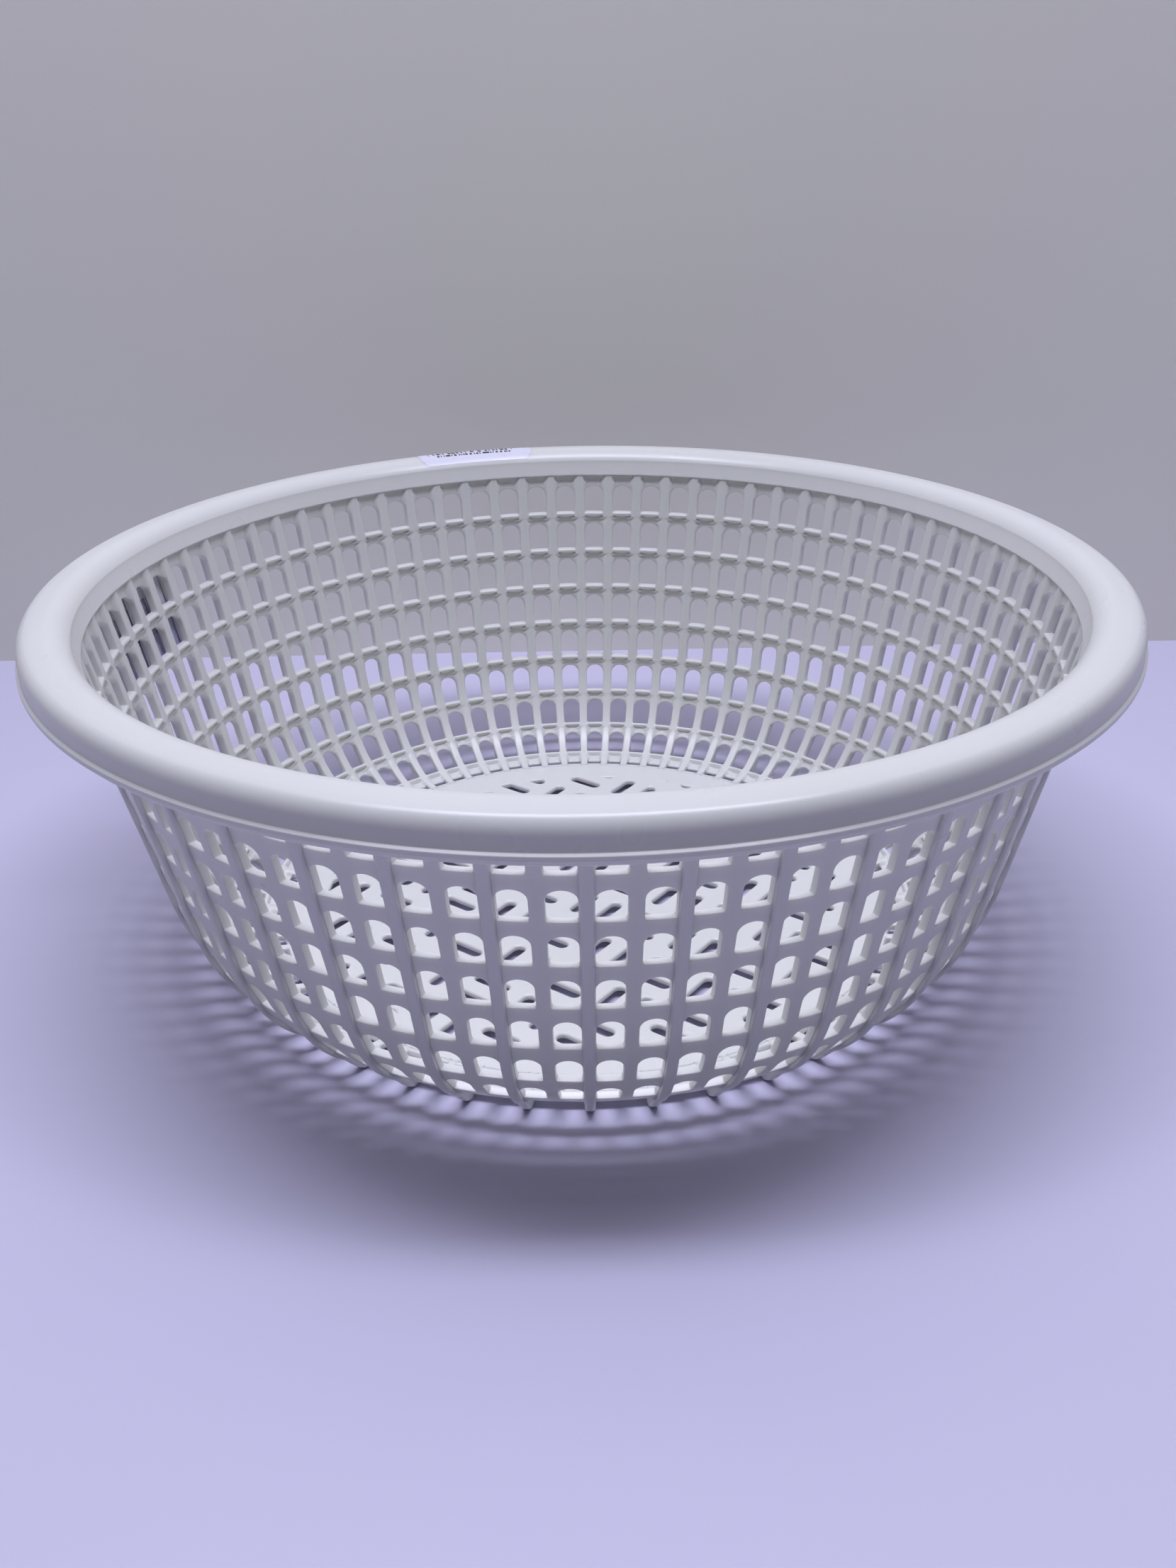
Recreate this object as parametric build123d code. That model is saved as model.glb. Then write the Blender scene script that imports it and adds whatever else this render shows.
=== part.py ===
from build123d import *
import math
import os

# Round colander basket, moulded in one piece, with two stuck-on paper labels.
# Millimetres. +Z is up, the feet stand on z = 0, the basket's axis is Z and the
# near side of the basket faces -Y. Every node is one region of the moulding and
# meets its neighbours face to face. The rings of the wall are cut into sectors of a
# few bars, which meet at the middle planes of their bars.

# ---- driving dimensions ----------------------------------------------------
overall_d = 400.0        # across the bead round the skirt of the rim
overall_h = 145.0        # table to the crest of the rim
bar_count = 80           # upright bars, an even number; every second one has a rib
bar_span_deg = 1.5       # angle that one bar fills
wall_t = 3.4             # bars, measured square to the wall
web_recess = 0.5         # webs lie this far outside the bars' inner face
draft = 0.224            # radius gained per unit of height on the straight wall
row_count = 8            # full rows of arched windows
web_h = 5.8              # plain web between one row of windows and the next
arch_rise = 3.8          # height of a window's arched head
sill_fall = 0.9          # a sill falls this much from outside to inside
first_sill_drop = 28.6   # rim's crest down to the top row's sills
last_sill_gap = 6.763    # drain slits out to the last row's sills, radially

band_drop = 15.2         # rim's crest down to the band over the top windows
rim_leg_drop = 11.3      # rim's crest down to the lower edge of its inner leg
rim_leg_proud = 0.5      # the leg stands in from the wall by this much
rim_reach = 17.27766     # the bead stands out from the wall's top by this much
rim_width = 18.6         # bead in to the inner edge of the rim's top
crest_in = 9.0           # bead in to the highest circle of the rim
rim_flange_t = 3.2       # shell of the rim
bead_step = 1.0          # the bead stands out from the skirt
bead_drop = 11.8         # rim's crest down to the middle of the bead
bead_h = 1.8
skirt_h = 14.8           # rim's crest down to the skirt's edge

base_gap = 2.4           # air under the base
base_t = 2.6
base_rim = 3.1           # the base reaches this far past the corner's centre
grille_margin = 14.6     # plain ring between the grille and the drain slits
slit_w = 3.4             # drain slits round the base, measured radially
corner_z = 70.0          # height of the centre of the rounded corner's ellipse
corner_a = 45.5          # its radial half axis, outside

slot_l = 17.8            # slots of the grille, over their bevels
slot_w = 6.8
slot_bevel = 1.1
slots_per_cell = 2
cell = 23.9              # side of one square cell of the basket weave
weave_turn_deg = 53.0    # how the weave is turned about Z
weave_shift = (4.0, 107.0)   # centre of one cell whose slots lean to the left

rib_proud = 1.6
rib_span_deg = 1.35
rib_foot_in = 11.0       # corner's centre out to the circle of the feet
foot_d = 5.0
foot_edge = 0.8

label_t = 0.15
label_gap = 0.05         # adhesive between a label and the plastic
rim_label_deg = (97.2, 113.9)
rim_label_in = (16.0, 5.0)       # bead in to the rim label's two edges
wall_label_deg = (160.0, 181.4)
wall_label_drop = (48.5, 18.0)   # rim's crest down to the wall label's edges

# ---- derived values --------------------------------------------------------
pitch_deg = 360.0 / bar_count
bay_deg = pitch_deg - bar_span_deg
sector_bays = max(n for n in range(1, 6) if bar_count % n == 0)
first_bar_deg = -90.0
bead_r = overall_d / 2
skirt_r = bead_r - bead_step
lean = math.atan(draft)
corner_b = corner_z - base_gap

first_sill_z = overall_h - first_sill_drop
band_bottom_z = overall_h - band_drop
rim_leg_z = overall_h - rim_leg_drop
bead_z = overall_h - bead_drop
skirt_bottom_z = overall_h - skirt_h

# The straight wall starts where the ellipse has the wall's draft, and ends under
# the rim, so the corner's centre follows from the rim.
knee_deg = -math.atan(draft * corner_b / corner_a)
knee_z = corner_z + corner_b * math.sin(knee_deg)
corner_r = bead_r - rim_reach - draft * (rim_leg_z - knee_z) - corner_a * math.cos(knee_deg)
base_edge_r = corner_r + base_rim
grille_r = base_edge_r - grille_margin
rib_foot_r = corner_r + rib_foot_in

rim_inner_r = bead_r - rim_width
crest_r = bead_r - crest_in
dome_crest = (crest_r, overall_h)
dome_in = ((rim_inner_r, overall_h - 4.6), (crest_r - 5.4, overall_h - 1.2), dome_crest)
dome_out = (dome_crest, (crest_r + 5.7, overall_h - 2.1), (skirt_r, overall_h - 7.0))


class WallCurve:
    """Wall profile in (radius, height): an ellipse low down, then a straight line."""

    def __init__(self, a, b):
        self.a, self.b = a, b
        self.u_top = -math.atan(draft * b / a)
        self.knee = self.at_angle(self.u_top)

    def at_angle(self, u):
        return (corner_r + self.a * math.cos(u), corner_z + self.b * math.sin(u))

    def angle_at_radius(self, r):
        return -math.acos((r - corner_r) / self.a)

    def radius_at(self, z):
        if z >= self.knee[1]:
            return self.knee[0] + draft * (z - self.knee[1])
        return corner_r + self.a * math.sqrt(1 - ((corner_z - z) / self.b) ** 2)

    def walk(self, s):
        """Point and upward tangent at the distance s above the knee, along the wall."""
        if s >= 0:
            t = (math.sin(lean), math.cos(lean))
            return (self.knee[0] + s * t[0], self.knee[1] + s * t[1]), t
        u, left, step = self.u_top, -s, 0.0005
        while left > 0:
            speed = math.hypot(self.a * math.sin(u), self.b * math.cos(u))
            left -= speed * step
            u -= step
        dr, dz = -self.a * math.sin(u), self.b * math.cos(u)
        size = math.hypot(dr, dz)
        return self.at_angle(u), (dr / size, dz / size)

    def distance_at_radius(self, r):
        """Distance from the knee, negative, of the radius r on the ellipse."""
        u, s, step = self.u_top, 0.0, 0.0005
        while corner_r + self.a * math.cos(u) > r:
            s -= math.hypot(self.a * math.sin(u), self.b * math.cos(u)) * step
            u -= step
        return s

    def edges(self, r_low, z_high):
        """The curve from the radius r_low up to the height z_high."""
        u_low = math.degrees(self.angle_at_radius(r_low))
        arc = EllipticalCenterArc(
            (corner_r, corner_z), self.a, self.b,
            start_angle=u_low, arc_size=math.degrees(self.u_top) - u_low,
        )
        return arc, Line(self.knee, (self.radius_at(z_high), z_high))


outer = WallCurve(corner_a, corner_b)
inner = WallCurve(corner_a - wall_t, corner_b - base_t)
web_inner = WallCurve(corner_a - wall_t + web_recess, corner_b - base_t + web_recess)
core = WallCurve(corner_a - wall_t - 1.5, corner_b - base_t - 1.5)
rib_outer = WallCurve(corner_a + rib_proud, corner_b + rib_proud * 0.75)


def section(outside, inside, r_low, z_high):
    """Closed face in the XZ plane between two wall curves."""
    out_arc, out_line = outside.edges(r_low, z_high)
    in_arc, in_line = inside.edges(r_low, z_high)
    top = Line(out_line @ 1, in_line @ 1)
    foot = Line(out_arc @ 0, in_arc @ 0)
    return Plane.XZ * make_face([out_arc, out_line, top, in_line, in_arc, foot])


def outline(points):
    """Closed face in the XZ plane through (radius, height) points."""
    return Plane.XZ * make_face(Polyline(*points, close=True))


def sweep_bay(face, start_deg, span_deg):
    return Rot(0, 0, start_deg) * revolve(face, Axis.Z, span_deg)


def around(solid, count, start_deg=0.0):
    """Copies of a solid turned evenly about Z."""
    return Compound(children=[
        Rot(0, 0, start_deg + 360.0 * i / count) * solid for i in range(count)
    ])


# ---- wall ------------------------------------------------------------------
def sill_positions():
    """Distances along the wall, from the knee, of each row's sill."""
    top = (first_sill_z - outer.knee[1]) / math.cos(lean)
    last = outer.distance_at_radius(base_edge_r + slit_w + last_sill_gap)
    return [top - (top - last) * row / (row_count - 1) for row in range(row_count)]


sills = sill_positions()
row_pitch = sills[0] - sills[1]
window_h = row_pitch - web_h


def sill_line(s):
    """Two points of the falling line of a sill, outside and inside the wall."""
    (r, z), (tr, tz) = outer.walk(s)
    ends = []
    for depth in (-2.0, wall_t + 2.0):
        drop = sill_fall * depth / wall_t
        ends.append((r - tz * depth - tr * drop, z + tr * depth - tz * drop))
    return ends


def window_cutter(s):
    """Arched prism square to the wall, standing a little below the sill at s."""
    (r, z), (tr, tz) = outer.walk(s)
    frame = Plane(origin=(r, 0, z), x_dir=(0, -1, 0), z_dir=(tz, 0, -tr))
    half = r * math.sin(math.radians(bay_deg / 2))
    spring, low = window_h - arch_rise, -2.5
    shape = make_face([
        Polyline((-half, spring), (-half, low), (half, low), (half, spring)),
        ThreePointArc((half, spring), (0, window_h), (-half, spring)),
    ])
    return extrude(frame * shape, wall_t + 2.0, both=True)


def course(s_low, line_low, line_high):
    """One ring of arches: bars joined by the web over their windows."""
    limit = outline([line_low[0], line_low[1], line_high[1], line_high[0]])
    wall = section(outer, inner, base_edge_r, band_bottom_z) & limit
    behind = section(web_inner, core, base_edge_r, band_bottom_z) & limit
    bay = sweep_bay(wall, -pitch_deg / 2, pitch_deg)
    bay -= [window_cutter(s_low), sweep_bay(behind, -bay_deg / 2, bay_deg)]
    return ring_of(bay)


def ring_of(bay):
    """A ring of sectors, each of a few bays joined at their flat sides."""
    start = first_bar_deg + pitch_deg / 2
    bays = [Rot(0, 0, start + i * pitch_deg) * bay.solid() for i in range(sector_bays)]
    sector = bays[0].fuse(*bays[1:], glue=True) if sector_bays > 1 else bays[0]
    return around(sector.solid(), bar_count // sector_bays)


def courses():
    """The rings of windows, from the top down."""
    found = {}
    line_high = [(bead_r + 100.0, band_bottom_z), (50.0, band_bottom_z)]
    for row, s in enumerate(sills):
        line_low = sill_line(s)
        found[f"wall_course_{row + 1}"] = course(s, line_low, line_high)
        line_high = line_low
    return found


def drain_course():
    """Last ring of the wall: bars and a web over the thin drain slits."""
    line_high = sill_line(sills[-1])
    limit = outline([*line_high, (base_edge_r - 5.0, 0.0), (base_edge_r + 30.0, 0.0)])
    bay = sweep_bay(section(outer, inner, base_edge_r, band_bottom_z) & limit,
                    -pitch_deg / 2, pitch_deg)
    bay -= sweep_bay(outline([
        (base_edge_r - 2, 0), (base_edge_r + slit_w, 0),
        (base_edge_r + slit_w, 12), (base_edge_r - 2, 12),
    ]), -bay_deg / 2, bay_deg)
    return ring_of(bay)


def wall_band():
    z_low, z_high = band_bottom_z, rim_leg_z
    face = outline([
        (outer.radius_at(z_low), z_low), (outer.radius_at(z_high), z_high),
        (inner.radius_at(z_high), z_high), (inner.radius_at(z_low), z_low),
    ])
    return revolve(face, Axis.Z)


def wall_ribs():
    """Ribs on every second bar, each ending in a small round foot."""
    out_arc, out_line = rib_outer.edges(rib_foot_r, rim_leg_z - 1.0)
    in_arc, in_line = outer.edges(rib_foot_r, rim_leg_z - 1.0)
    face = Plane.XZ * make_face([
        out_arc, out_line, Line(out_line @ 1, in_line @ 1), in_line, in_arc,
        Line(out_arc @ 0, in_arc @ 0),
    ])
    rib = sweep_bay(face, -rib_span_deg / 2, rib_span_deg)
    foot = Pos(rib_foot_r, 0, 0) * Cylinder(
        foot_d / 2, 9.0, align=(Align.CENTER, Align.CENTER, Align.MIN))
    foot = chamfer(foot.edges().sort_by(Axis.Z)[:1], foot_edge)
    r_high = rib_foot_r + foot_d
    u_low = math.degrees(outer.angle_at_radius(base_edge_r))
    u_high = math.degrees(outer.angle_at_radius(r_high))
    arc = EllipticalCenterArc(
        (corner_r, corner_z), outer.a, outer.b, start_angle=u_low, arc_size=u_high - u_low)
    above = Plane.XZ * make_face([
        arc, Polyline(arc @ 1, (r_high, 30), (base_edge_r, 30), arc @ 0),
    ])
    body = rib + (foot - sweep_bay(above, -6, 12))
    return around(body.solid(), bar_count // 2, first_bar_deg)


# ---- rim -------------------------------------------------------------------
def circle_through(p, q, s):
    """Centre and radius of the circle through three points."""
    ax, ay, bx, by = q[0] - p[0], q[1] - p[1], s[0] - p[0], s[1] - p[1]
    d = 2 * (ax * by - ay * bx)
    ux = (by * (ax * ax + ay * ay) - ay * (bx * bx + by * by)) / d
    uy = (ax * (bx * bx + by * by) - bx * (ax * ax + ay * ay)) / d
    return (p[0] + ux, p[1] + uy), math.hypot(ux, uy)


def rim_dome(r):
    """Height of the rim's top surface at the radius r."""
    arc = dome_in if r < crest_r else dome_out
    (cx, cz), size = circle_through(*arc)
    return cz + math.sqrt(size ** 2 - (r - cx) ** 2)


def rim_flange():
    """Domed top with a rounded shoulder, a skirt with a bead, and an inner leg."""
    shoulder = dome_out[2]
    leg_in = inner.radius_at(rim_leg_z) - rim_leg_proud
    leg_out = outer.radius_at(rim_leg_z)
    t = rim_flange_t
    top = [
        Line((leg_in, rim_leg_z), dome_in[0]),
        ThreePointArc(*dome_in),
        ThreePointArc(*dome_out),
    ]
    bead_low, bead_high = bead_z - bead_h / 2, bead_z + bead_h / 2
    skirt = Polyline(
        shoulder, (skirt_r, bead_high + 0.3), (bead_r, bead_high), (bead_r, bead_low),
        (skirt_r - 0.2, bead_low - 0.3), (skirt_r - 0.5, skirt_bottom_z),
        (skirt_r - t, skirt_bottom_z), (skirt_r - t, overall_h - 4.0 - t),
    )
    under = [
        ThreePointArc((skirt_r - t, overall_h - 4.0 - t), (crest_r + 3.4, overall_h - 1.2 - t),
                      (crest_r - 0.6, overall_h - t)),
        Line((crest_r - 0.6, overall_h - t), (leg_out + 1.4, overall_h - t - 1.2)),
        Line((leg_out + 1.4, overall_h - t - 1.2), (leg_out, rim_leg_z)),
        Line((leg_out, rim_leg_z), (leg_in, rim_leg_z)),
    ]
    return revolve(Plane.XZ * make_face([*top, skirt, *under]), Axis.Z)


# ---- base ------------------------------------------------------------------
def base_ring():
    face = outline([
        (grille_r, base_gap), (base_edge_r, base_gap),
        (base_edge_r, base_gap + base_t), (grille_r, base_gap + base_t),
    ])
    return revolve(face, Axis.Z)


def slot_centres():
    """Centre and turn of each slot: square cells with their slots turned by turns."""
    turn = math.radians(weave_turn_deg)
    reach = int(2 * grille_r / cell) + 2
    for i in range(-reach, reach + 1):
        for j in range(-reach, reach + 1):
            crossed = (i + j) % 2
            for k in range(slots_per_cell):
                off = (k - (slots_per_cell - 1) / 2) * cell / slots_per_cell
                x, y = i * cell, j * cell
                x, y = (x, y + off) if crossed else (x + off, y)
                gx = weave_shift[0] + x * math.cos(turn) - y * math.sin(turn)
                gy = weave_shift[1] + x * math.sin(turn) + y * math.cos(turn)
                yield gx, gy, weave_turn_deg + (0 if crossed else 90)


def base_grille():
    """Disc with a basket weave of bevelled slots, cut off at its edge circle."""
    top = base_gap + base_t
    low = Align.MIN
    disc = Pos(0, 0, base_gap) * Cylinder(
        grille_r, base_t, align=(Align.CENTER, Align.CENTER, low))
    narrow = extrude(SlotOverall(slot_l - 2 * slot_bevel, slot_w - 2 * slot_bevel), base_t + 1)
    flare = extrude(SlotOverall(slot_l, slot_w), -slot_bevel - 0.3, taper=40.0)
    cutters = []
    for x, y, turn in slot_centres():
        if math.hypot(x, y) > grille_r + slot_l / 2:
            continue
        spot = Pos(x, y, 0) * Rot(0, 0, turn)
        cutters.append(Pos(0, 0, base_gap - 0.5) * spot * narrow)
        cutters.append(Pos(0, 0, top) * spot * flare)
    return disc - cutters


# ---- labels ----------------------------------------------------------------
def rim_label():
    """Paper strip lying on the dome of the rim at the far side."""
    r0, r1 = (bead_r - gap for gap in rim_label_in)
    steps = [r0 + (r1 - r0) * i / 12 for i in range(13)]
    low = [(r, rim_dome(r) + label_gap) for r in steps]
    high = [(r, z + label_t) for r, z in reversed(low)]
    start, end = rim_label_deg
    return sweep_bay(outline(low + high), start, end - start)


def wall_label():
    """Paper label stuck across three ribs on the left of the basket."""
    start, end = wall_label_deg
    heights = [overall_h - drop for drop in wall_label_drop]
    low = [(rib_outer.radius_at(z) + label_gap, z) for z in heights]
    high = [(r + label_t, z) for r, z in reversed(low)]
    return sweep_bay(outline(low + high), start, end - start)


# ---- export ----------------------------------------------------------------
def build():
    nodes = {
        "rim_flange": rim_flange(),
        "wall_band": wall_band(),
        "wall_ribs": wall_ribs(),
        "base_ring": base_ring(),
        "base_grille": base_grille(),
        "rim_label": rim_label(),
        "wall_label": wall_label(),
    }
    nodes.update(courses())
    nodes["drain_course"] = drain_course()
    return nodes


os.makedirs("parts", exist_ok=True)
for name, shape in build().items():
    export_step(shape, f"parts/{name}.step")
    print(name, len(shape.solids()), "solids, volume", round(shape.volume / 1000, 2), "cm3")
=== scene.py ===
"""Looks of the round colander basket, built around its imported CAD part.

The wall, ribs, rim, base and labels are rebuilt as fine meshes with softened
edges in the CAD part's own frame, in metres, and stand for the CAD nodes.
"""

import logging
import math
from dataclasses import dataclass, field
from enum import Enum

import bpy
import numpy as np
from mathutils import Matrix, Vector

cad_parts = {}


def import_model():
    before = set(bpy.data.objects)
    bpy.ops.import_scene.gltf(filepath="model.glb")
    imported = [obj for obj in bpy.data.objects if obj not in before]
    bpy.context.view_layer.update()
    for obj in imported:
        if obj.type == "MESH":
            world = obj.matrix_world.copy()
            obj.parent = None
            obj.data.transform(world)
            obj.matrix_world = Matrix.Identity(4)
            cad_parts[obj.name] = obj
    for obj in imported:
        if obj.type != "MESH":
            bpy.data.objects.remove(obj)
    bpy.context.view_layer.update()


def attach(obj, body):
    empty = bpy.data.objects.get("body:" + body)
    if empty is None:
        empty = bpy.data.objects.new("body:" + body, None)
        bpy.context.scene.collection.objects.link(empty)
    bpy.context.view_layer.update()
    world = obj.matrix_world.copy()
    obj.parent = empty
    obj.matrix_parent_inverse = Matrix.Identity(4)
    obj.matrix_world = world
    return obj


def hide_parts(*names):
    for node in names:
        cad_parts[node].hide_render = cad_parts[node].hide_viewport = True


LOG = logging.getLogger("basket")
MM = 0.001
Point = tuple[float, float]


# --------------------------------------------------------------------------
# Geometry shared by the sub-assemblies
# --------------------------------------------------------------------------
@dataclass(frozen=True)
class WallProfile:
    """Outer profile of the wall in millimetres: an ellipse, then a straight line.

    Attributes:
        centre_r: radius of the ellipse's centre.
        centre_z: height of the ellipse's centre.
        half_r: radial half axis of the ellipse.
        half_z: upright half axis of the ellipse.
        draft: radius gained per unit of height on the line.
        thick: thickness of the wall's upper part.
        thick_low: thickness where the wall meets the base.
    """

    centre_r: float = 120.5
    centre_z: float = 70.0
    half_r: float = 45.5
    half_z: float = 67.6
    draft: float = 0.224
    thick: float = 3.4
    thick_low: float = 2.6

    @property
    def lean(self) -> float:
        """Angle of the straight wall from upright.

        Returns:
            The angle in radians.
        """
        return math.atan(self.draft)

    @property
    def knee_angle(self) -> float:
        """Ellipse angle at which the straight line starts.

        Returns:
            The angle in radians.
        """
        return -math.atan(self.draft * self.half_z / self.half_r)

    def table(self) -> tuple[np.ndarray, np.ndarray]:
        """Ellipse angles with their distances along the curve below the knee.

        Returns:
            Distances (falling from 0) and the angles they belong to.
        """
        u = np.linspace(self.knee_angle, -math.pi / 2, 4000)
        speed = np.hypot(self.half_r * np.sin(u), self.half_z * np.cos(u))
        steps = 0.5 * (speed[1:] + speed[:-1]) * np.diff(u)
        return np.concatenate([[0.0], np.cumsum(steps)]), u

    def knee(self) -> Point:
        """Point where ellipse and line meet.

        Returns:
            Radius and height in millimetres.
        """
        u = self.knee_angle
        return (
            self.centre_r + self.half_r * math.cos(u),
            self.centre_z + self.half_z * math.sin(u),
        )

    def at(self, s: np.ndarray) -> tuple[np.ndarray, np.ndarray, np.ndarray, np.ndarray]:
        """Points and outward normals at distances along the wall.

        Args:
            s: distances from the knee, above it positive.

        Returns:
            Radius, height, and the normal's radial and upright parts.
        """
        s = np.asarray(s, float)
        dist, angle = self.table()
        u = np.interp(-s, -dist, angle)
        kr, kz = self.knee()
        up = s > 0
        tr = np.where(up, math.sin(self.lean), -self.half_r * np.sin(u))
        tz = np.where(up, math.cos(self.lean), self.half_z * np.cos(u))
        size = np.hypot(tr, tz)
        tr, tz = tr / size, tz / size
        r = np.where(up, kr + s * math.sin(self.lean), self.centre_r + self.half_r * np.cos(u))
        z = np.where(up, kz + s * math.cos(self.lean), self.centre_z + self.half_z * np.sin(u))
        return r, z, tz, -tr

    def thickness(self, s: np.ndarray) -> np.ndarray:
        """Thickness of the wall at distances along it.

        Args:
            s: distances from the knee.

        Returns:
            Thickness in millimetres.
        """
        share = np.clip(-np.asarray(s, float) / 66.0, 0.0, 1.0)
        return self.thick + (self.thick_low - self.thick) * share

    def place(self, theta: np.ndarray, s: np.ndarray, depth: np.ndarray) -> np.ndarray:
        """Points in the row frame for places in the wall.

        Args:
            theta: angles about the axis, in degrees.
            s: distances along the wall from the knee, in millimetres.
            depth: distances into the wall from its outer face, in millimetres.

        Returns:
            Array of points in metres.
        """
        r, z, nr, nz = self.at(s)
        r, z = r - nr * depth, z - nz * depth
        a = np.radians(theta)
        return np.stack([r * np.cos(a), r * np.sin(a), z], -1) * MM

    def s_at_height(self, z: float) -> float:
        """Distance along the wall of a height on its straight part.

        Args:
            z: height in millimetres, above the knee.

        Returns:
            Distance from the knee.
        """
        return (z - self.knee()[1]) / math.cos(self.lean)

    def s_at_radius(self, r: float) -> float:
        """Distance along the wall of a radius on its curved part.

        Args:
            r: radius in millimetres.

        Returns:
            Distance from the knee, negative.
        """
        dist, angle = self.table()
        u = -math.acos((r - self.centre_r) / self.half_r)
        return float(np.interp(-u, -angle, dist))


WALL = WallProfile()


def spin(points: np.ndarray, degrees: float) -> np.ndarray:
    """Turns points about the Z axis.

    Args:
        points: array of points.
        degrees: angle to turn by.

    Returns:
        The turned points.
    """
    a = math.radians(degrees)
    turn = np.array([[math.cos(a), -math.sin(a), 0], [math.sin(a), math.cos(a), 0], [0, 0, 1]])
    return points @ turn.T


def make_mesh(name: str, points: np.ndarray, faces: np.ndarray, weld: float = 0.0) -> bpy.types.Object:
    """Makes a smooth-shaded mesh object.

    Args:
        name: name of the object.
        points: vertices in metres.
        faces: rows of vertex numbers, all with the same count.
        weld: distance in metres under which vertices are merged.

    Returns:
        The object, linked to the scene.
    """
    mesh = bpy.data.meshes.new(name)
    mesh.from_pydata(points.tolist(), [], faces.tolist())
    mesh.validate()
    obj = bpy.data.objects.new(name, mesh)
    bpy.context.scene.collection.objects.link(obj)
    if weld:
        import bmesh

        bm = bmesh.new()
        bm.from_mesh(mesh)
        bmesh.ops.remove_doubles(bm, verts=bm.verts, dist=weld)
        bm.to_mesh(mesh)
        bm.free()
    mesh.polygons.foreach_set("use_smooth", np.ones(len(mesh.polygons), bool))
    mesh.update()
    return obj


def weigh_normals(obj: bpy.types.Object) -> None:
    """Keeps flats flat beside their softened edges.

    Args:
        obj: mesh object to change.
    """
    mod = obj.modifiers.new("normals", "WEIGHTED_NORMAL")
    mod.weight = 60
    mod.keep_sharp = True


def lathe(name: str, profile: list[Point], steps: int, closed: bool = True) -> bpy.types.Object:
    """Turns a profile about the Z axis.

    Args:
        name: name of the object.
        profile: radius and height points in millimetres.
        steps: number of steps round the axis.
        closed: whether the last point joins the first.

    Returns:
        The mesh object.
    """
    line = np.array([(r, 0.0, z) for r, z in profile]) * MM
    n = len(line)
    points = np.concatenate([spin(line, 360.0 * i / steps) for i in range(steps)])
    last = n if closed else n - 1
    faces = [
        (i * n + j, ((i + 1) % steps) * n + j, ((i + 1) % steps) * n + (j + 1) % n, i * n + (j + 1) % n)
        for i in range(steps)
        for j in range(last)
    ]
    return make_mesh(name, points, np.array(faces))


def arc_through(p: Point, q: Point, s: Point, count: int) -> list[Point]:
    """Points on the arc from p through q to s.

    Args:
        p: first point.
        q: point on the way.
        s: last point.
        count: number of steps.

    Returns:
        The points, both ends included.
    """
    ax, ay, bx, by = q[0] - p[0], q[1] - p[1], s[0] - p[0], s[1] - p[1]
    d = 2 * (ax * by - ay * bx)
    cx = p[0] + (by * (ax * ax + ay * ay) - ay * (bx * bx + by * by)) / d
    cy = p[1] + (ax * (bx * bx + by * by) - bx * (ax * ax + ay * ay)) / d
    size = math.hypot(p[0] - cx, p[1] - cy)
    a0 = math.atan2(p[1] - cy, p[0] - cx)
    a1 = math.atan2(s[1] - cy, s[0] - cx)
    am = math.atan2(q[1] - cy, q[0] - cx)
    while a1 - a0 > math.pi:
        a1 -= 2 * math.pi
    while a0 - a1 > math.pi:
        a1 += 2 * math.pi
    if not min(a0, a1) <= am <= max(a0, a1):
        LOG.debug("arc runs the other way round")
    return [
        (cx + size * math.cos(a0 + (a1 - a0) * i / count), cy + size * math.sin(a0 + (a1 - a0) * i / count))
        for i in range(count + 1)
    ]


def round_corners(points: list[Point], radius: dict[int, float], steps: int = 5) -> list[Point]:
    """Rounds chosen corners of a closed outline.

    Args:
        points: corners of the outline.
        radius: rounding radius for each corner's number.
        steps: points in each rounding.

    Returns:
        The rounded outline.
    """
    out: list[Point] = []
    n = len(points)
    for i, p in enumerate(points):
        size = radius.get(i, 0.0)
        if size <= 0:
            out.append(p)
            continue
        a, b = points[i - 1], points[(i + 1) % n]
        va = Vector((a[0] - p[0], a[1] - p[1])).normalized()
        vb = Vector((b[0] - p[0], b[1] - p[1])).normalized()
        half = max(0.02, va.angle(vb) / 2)
        cut = min(size / math.tan(half), 0.48 * math.dist(a, p), 0.48 * math.dist(b, p))
        start, end = Vector(p) + va * cut, Vector(p) + vb * cut
        for k in range(steps + 1):
            t = k / steps
            q = start * (1 - t) ** 2 + Vector(p) * 2 * t * (1 - t) + end * t * t
            out.append((q.x, q.y))
    return out


# --------------------------------------------------------------------------
# Finishes
# --------------------------------------------------------------------------
class Effect(Enum):
    """Shared surface effects, each built once as a node group."""

    MOTTLE = "mottle"
    GRAIN = "grain"
    SMUDGE = "smudge"


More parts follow.
